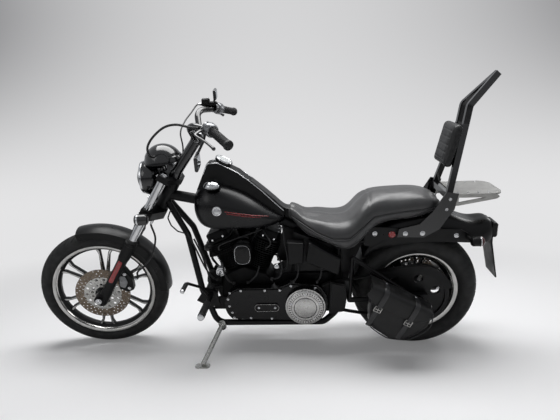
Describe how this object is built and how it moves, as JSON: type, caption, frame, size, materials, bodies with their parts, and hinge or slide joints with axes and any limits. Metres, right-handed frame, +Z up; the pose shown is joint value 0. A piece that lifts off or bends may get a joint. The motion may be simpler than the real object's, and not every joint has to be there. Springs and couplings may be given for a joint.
{
  "type": "cruiser motorcycle",
  "caption": "Heavy cruiser motorcycle leaning on its side stand, with air-cooled V-twin engine, cast wheels, sissy bar, rack and one side bag.",
  "frame": {"origin": "centre of the parked machine's bounding box, on the ground under its tyres and stand foot", "axes": "-X towards the front wheel, +Y towards the rider's right, +Z up"},
  "size_m": [2.439, 0.9212, 1.4138],
  "materials": {
    "black_leather": "grained",
    "black_rubber": "matte",
    "brake_steel": "brushed",
    "cast_grey": "satin",
    "chrome": "polished",
    "gloss_black": "gloss",
    "grey_steel": "satin",
    "lamp_plastic": "gloss",
    "lamp_shell": "gloss",
    "polished_cover": "polished",
    "polished_rim": "polished",
    "satin_black": "satin",
    "tyre_rubber": "matte"
  },
  "bodies": {
    "chassis": {"drive_belt": "black_rubber", "frame_backbone": "gloss_black", "frame_cradles": "gloss_black", "clutch_cable": "black_rubber", "swingarm": "gloss_black", "primary_cover": "gloss_black", "derby_cover": "polished_cover", "air_cleaner": "gloss_black", "exhaust": "satin_black", "fuel_tank": "gloss_black", "seat": "black_leather", "tail_lights": "lamp_plastic", "sissy_bar": "gloss_black", "backrest_pad": "black_leather", "luggage_rack": "grey_steel", "foot_controls": "satin_black", "bag_body": "black_leather", "cylinders": "satin_black", "rocker_boxes": "gloss_black", "engine_cases": "satin_black", "rear_axle_set": "satin_black", "belt_guards": "satin_black", "side_boxes": "satin_black", "fender_and_struts": "gloss_black", "engine_trim": "chrome", "tank_fittings": "gloss_black"},
    "steering": {"triple_clamps": "gloss_black", "fork_tubes": "chrome", "fork_sliders": "gloss_black", "handlebar": "gloss_black", "grips": "black_rubber", "hand_controls": "cast_grey", "mirrors": "gloss_black", "front_fender": "gloss_black", "front_turn_lamps": "lamp_shell", "bar_cables": "black_rubber", "headlamp_and_cowl": "gloss_black", "front_axle_set": "satin_black"},
    "front_wheel": {"front_tyre": "tyre_rubber", "front_rim": "polished_rim", "front_brake_disc": "brake_steel"},
    "rear_wheel": {"rear_tyre": "tyre_rubber", "rear_rim": "polished_rim", "rear_brake_disc": "brake_steel", "drive_pulley": "satin_black"},
    "side_stand": {"side_stand": "satin_black"},
    "bag_lid": {"bag_lid": "black_leather"}
  },
  "joints": [
    {"name": "steering", "type": "hinge", "parent": "chassis", "child": "steering", "pos_m": [-1.0085, 0.1527, -0.00192], "axis": [0.5281, -0.1577, 0.8344], "range_deg": [-40, 24]},
    {"name": "front_wheel", "type": "hinge", "parent": "steering", "child": "front_wheel", "pos_m": [-0.87668, 0.07897, 0.33518], "axis": [-0.1182, 0.9594, 0.2561], "continuous": true},
    {"name": "rear_wheel", "type": "hinge", "parent": "chassis", "child": "rear_wheel", "pos_m": [0.81277, 0.09143, 0.32235], "axis": [0, 0.9826, 0.1857], "continuous": true},
    {"name": "side_stand", "type": "hinge", "parent": "chassis", "child": "side_stand", "pos_m": [-0.20792, -0.03816, 0.15718], "axis": [-0.0174, -0.6893, 0.7243], "range_deg": [0, 102.9]},
    {"name": "bag_lid", "type": "hinge", "parent": "chassis", "child": "bag_lid", "pos_m": [0.5594, -0.14264, 0.45159], "axis": [-0.8857, -0.0862, 0.4563], "range_deg": [0, 95]}
  ]
}
